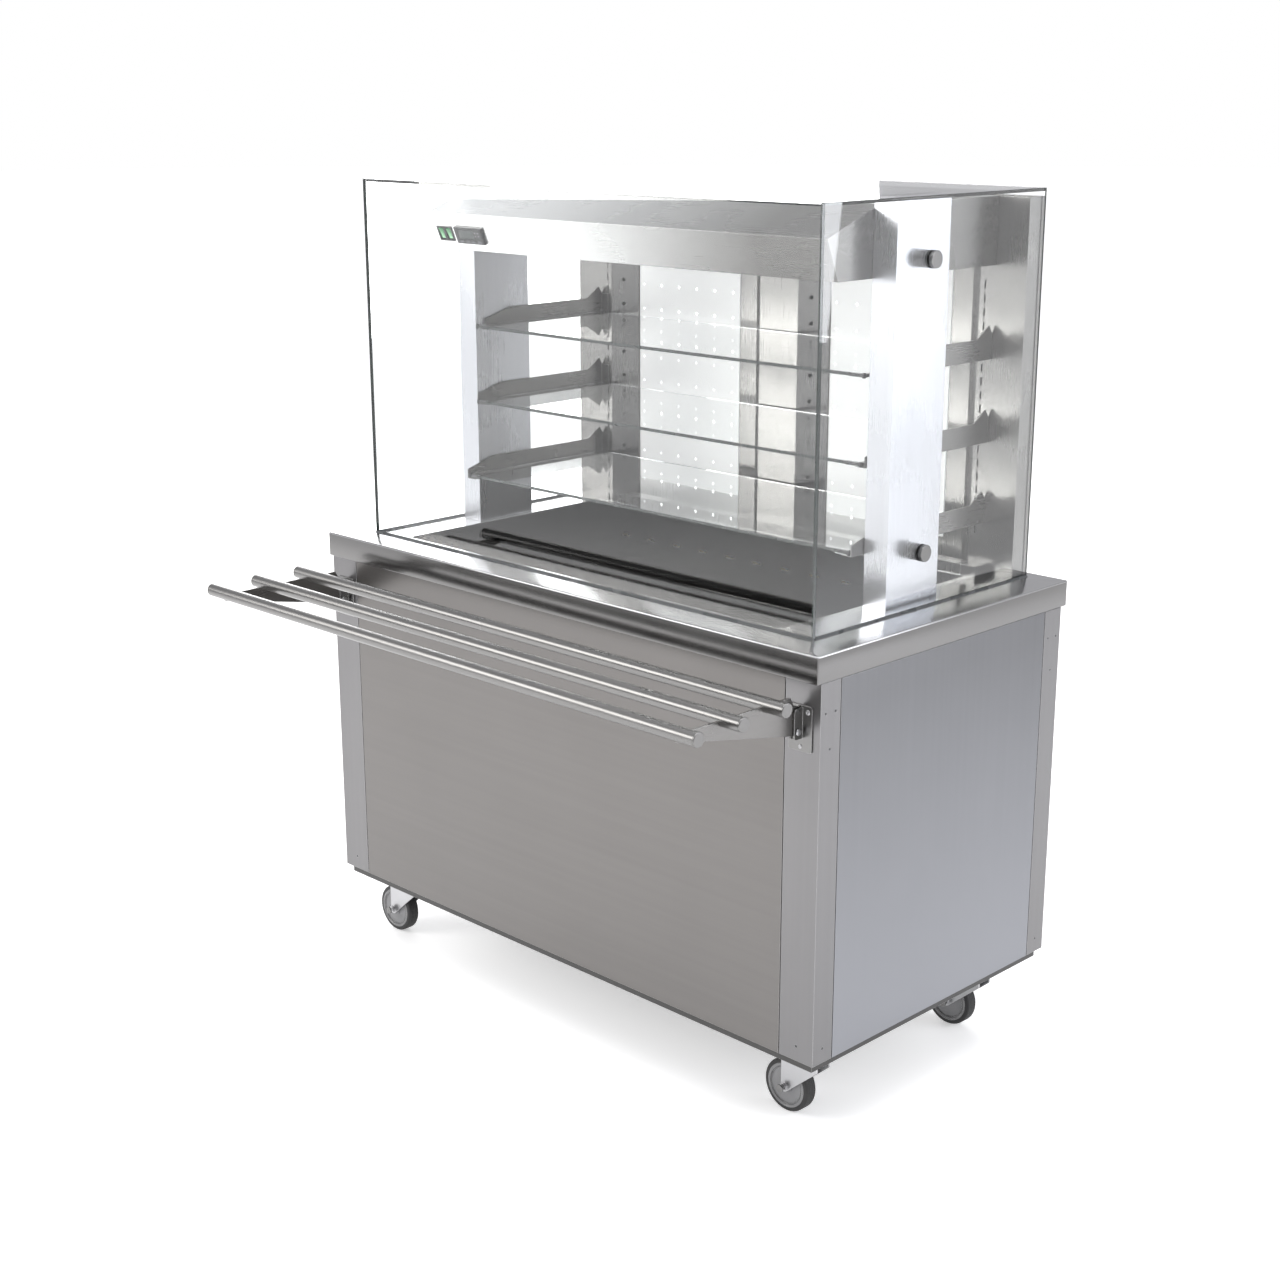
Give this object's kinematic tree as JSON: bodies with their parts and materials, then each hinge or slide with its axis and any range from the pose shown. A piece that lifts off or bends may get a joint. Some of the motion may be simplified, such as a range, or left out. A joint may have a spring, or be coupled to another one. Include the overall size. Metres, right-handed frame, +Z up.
{
  "type": "food holding cabinet",
  "caption": "Mobile steel food holding and serving cabinet with a cold well, glass display canopy, glass shelves, lit hood, rear doors, fold-down tray slide and castors.",
  "frame": {"origin": "on the floor, below the middle of the whole object's box", "axes": "+X along the customer side to the right as seen from it, +Y from the customer side to the operator side, +Z up"},
  "size_m": [1.307, 1.0025, 1.598],
  "materials": {
    "base_tray": "satin brushed",
    "corner_posts_front": "satin brushed",
    "corner_posts_rear": "satin brushed",
    "front_panel": "satin brushed",
    "side_panel_left": "satin brushed",
    "side_panel_right": "satin brushed",
    "rear_service_panel": "satin brushed",
    "countertop": "satin brushed",
    "well_tub": "satin brushed",
    "well_insulation": "matt",
    "drain_valve": "plain",
    "drain_lever": "gloss",
    "evaporator": "plain",
    "compressor": "powder coat",
    "condenser": "plain",
    "condenser_fan": "matt",
    "castor_plates": "satin brushed",
    "castor_fork_front_left": "satin brushed",
    "castor_wheel_front_left": "matt",
    "castor_tyre_front_left": "matt",
    "castor_fork_front_right": "satin brushed",
    "castor_wheel_front_right": "matt",
    "castor_tyre_front_right": "matt",
    "castor_fork_rear_left": "satin brushed",
    "castor_wheel_rear_left": "matt",
    "castor_tyre_rear_left": "matt",
    "castor_fork_rear_right": "satin brushed",
    "castor_wheel_rear_right": "matt",
    "castor_tyre_rear_right": "matt",
    "glass_front": "clear",
    "glass_side_left": "clear",
    "glass_side_right": "clear",
    "glass_top": "clear",
    "mid_post_left": "satin brushed",
    "mid_post_right": "satin brushed",
    "glass_standoffs": "satin brushed",
    "hood_shell": "satin brushed",
    "hood_lamp": "matt",
    "switch_housings": "matt",
    "rocker_cooling": "gloss",
    "rocker_light": "gloss",
    "controller": "gloss",
    "upright_left": "satin brushed",
    "upright_right": "satin brushed",
    "upright_centre": "satin brushed",
    "door_frame": "satin brushed",
    "rear_door_left": "powder coat",
    "rear_door_right": "powder coat",
    "rear_ledge": "satin brushed",
    "shelf_brackets_upper": "satin brushed",
    "shelf_upper": "clear",
    "shelf_brackets_middle": "satin brushed",
    "shelf_middle": "clear",
    "shelf_brackets_lower": "satin brushed",
    "shelf_lower": "clear",
    "shelf_pads": "soft",
    "tray_arm_left": "satin brushed",
    "tray_arm_right": "satin brushed",
    "tray_tubes": "satin brushed",
    "tray_hinge_brackets": "satin brushed"
  },
  "bodies": {
    "cabinet": {"base_tray": "base_tray", "corner_posts_front": "corner_posts_front", "corner_posts_rear": "corner_posts_rear", "front_panel": "front_panel", "side_panel_left": "side_panel_left", "side_panel_right": "side_panel_right", "rear_service_panel": "rear_service_panel", "countertop": "countertop", "well_tub": "well_tub", "well_insulation": "well_insulation", "drain_valve": "drain_valve", "evaporator": "evaporator", "compressor": "compressor", "condenser": "condenser", "castor_plates": "castor_plates", "glass_front": "glass_front", "glass_side_left": "glass_side_left", "glass_side_right": "glass_side_right", "glass_top": "glass_top", "mid_post_left": "mid_post_left", "mid_post_right": "mid_post_right", "glass_standoffs": "glass_standoffs", "hood_shell": "hood_shell", "hood_lamp": "hood_lamp", "switch_housings": "switch_housings", "controller": "controller", "upright_left": "upright_left", "upright_right": "upright_right", "upright_centre": "upright_centre", "door_frame": "door_frame", "rear_ledge": "rear_ledge", "shelf_brackets_upper": "shelf_brackets_upper", "shelf_upper": "shelf_upper", "shelf_brackets_middle": "shelf_brackets_middle", "shelf_middle": "shelf_middle", "shelf_brackets_lower": "shelf_brackets_lower", "shelf_lower": "shelf_lower", "shelf_pads": "shelf_pads", "tray_hinge_brackets": "tray_hinge_brackets"},
    "tray_slide": {"tray_arm_left": "tray_arm_left", "tray_arm_right": "tray_arm_right", "tray_tubes": "tray_tubes"},
    "drain_lever": {"drain_lever": "drain_lever"},
    "condenser_fan": {"condenser_fan": "condenser_fan"},
    "rocker_cooling": {"rocker_cooling": "rocker_cooling"},
    "rocker_light": {"rocker_light": "rocker_light"},
    "rear_door_left": {"rear_door_left": "rear_door_left"},
    "rear_door_right": {"rear_door_right": "rear_door_right"},
    "castor_fork_front_left": {"castor_fork_front_left": "castor_fork_front_left"},
    "castor_wheel_front_left": {"castor_wheel_front_left": "castor_wheel_front_left", "castor_tyre_front_left": "castor_tyre_front_left"},
    "castor_fork_front_right": {"castor_fork_front_right": "castor_fork_front_right"},
    "castor_wheel_front_right": {"castor_wheel_front_right": "castor_wheel_front_right", "castor_tyre_front_right": "castor_tyre_front_right"},
    "castor_fork_rear_left": {"castor_fork_rear_left": "castor_fork_rear_left"},
    "castor_wheel_rear_left": {"castor_wheel_rear_left": "castor_wheel_rear_left", "castor_tyre_rear_left": "castor_tyre_rear_left"},
    "castor_fork_rear_right": {"castor_fork_rear_right": "castor_fork_rear_right"},
    "castor_wheel_rear_right": {"castor_wheel_rear_right": "castor_wheel_rear_right", "castor_tyre_rear_right": "castor_tyre_rear_right"}
  },
  "joints": [
    {"name": "tray_fold", "type": "hinge", "parent": "cabinet", "child": "tray_slide", "pos_m": [0, -0.21275, 0.762], "axis": [1, 0, 0], "range_deg": [0, 90]},
    {"name": "drain_turn", "type": "hinge", "parent": "cabinet", "child": "drain_lever", "pos_m": [-0.33, 0.10475, 0.6085], "axis": [0, 1, 0], "range_deg": [0, 90]},
    {"name": "fan_spin", "type": "hinge", "parent": "cabinet", "child": "condenser_fan", "pos_m": [0.02, 0.1425, 0.308], "axis": [1, 0, 0], "continuous": true},
    {"name": "rocker_cooling_tip", "type": "hinge", "parent": "cabinet", "child": "rocker_cooling", "pos_m": [-0.4805, -0.01901, 1.49423], "axis": [1, 0, 0], "range_deg": [-16, 0]},
    {"name": "rocker_light_tip", "type": "hinge", "parent": "cabinet", "child": "rocker_light", "pos_m": [-0.4585, -0.01901, 1.49423], "axis": [1, 0, 0], "range_deg": [-16, 0]},
    {"name": "rear_door_left_swing", "type": "hinge", "parent": "cabinet", "child": "rear_door_left", "pos_m": [-0.423, 0.47755, 1.195], "axis": [0, 0, 1], "range_deg": [0, 110]},
    {"name": "rear_door_right_swing", "type": "hinge", "parent": "cabinet", "child": "rear_door_right", "pos_m": [0.0995, 0.47755, 1.195], "axis": [0, 0, 1], "range_deg": [0, 110]},
    {"name": "castor_swivel_front_left", "type": "hinge", "parent": "cabinet", "child": "castor_fork_front_left", "pos_m": [-0.56, -0.09825, 0.14], "axis": [0, 0, 1], "continuous": true},
    {"name": "castor_roll_front_left", "type": "hinge", "parent": "castor_fork_front_left", "child": "castor_wheel_front_left", "pos_m": [-0.603, -0.09825, 0.05], "axis": [0, 1, 0], "continuous": true},
    {"name": "castor_swivel_front_right", "type": "hinge", "parent": "cabinet", "child": "castor_fork_front_right", "pos_m": [0.56, -0.09825, 0.14], "axis": [0, 0, 1], "continuous": true},
    {"name": "castor_roll_front_right", "type": "hinge", "parent": "castor_fork_front_right", "child": "castor_wheel_front_right", "pos_m": [0.517, -0.09825, 0.05], "axis": [0, 1, 0], "continuous": true},
    {"name": "castor_swivel_rear_left", "type": "hinge", "parent": "cabinet", "child": "castor_fork_rear_left", "pos_m": [-0.56, 0.38325, 0.14], "axis": [0, 0, 1], "continuous": true},
    {"name": "castor_roll_rear_left", "type": "hinge", "parent": "castor_fork_rear_left", "child": "castor_wheel_rear_left", "pos_m": [-0.603, 0.38325, 0.05], "axis": [0, 1, 0], "continuous": true},
    {"name": "castor_swivel_rear_right", "type": "hinge", "parent": "cabinet", "child": "castor_fork_rear_right", "pos_m": [0.56, 0.38325, 0.14], "axis": [0, 0, 1], "continuous": true},
    {"name": "castor_roll_rear_right", "type": "hinge", "parent": "castor_fork_rear_right", "child": "castor_wheel_rear_right", "pos_m": [0.517, 0.38325, 0.05], "axis": [0, 1, 0], "continuous": true}
  ]
}
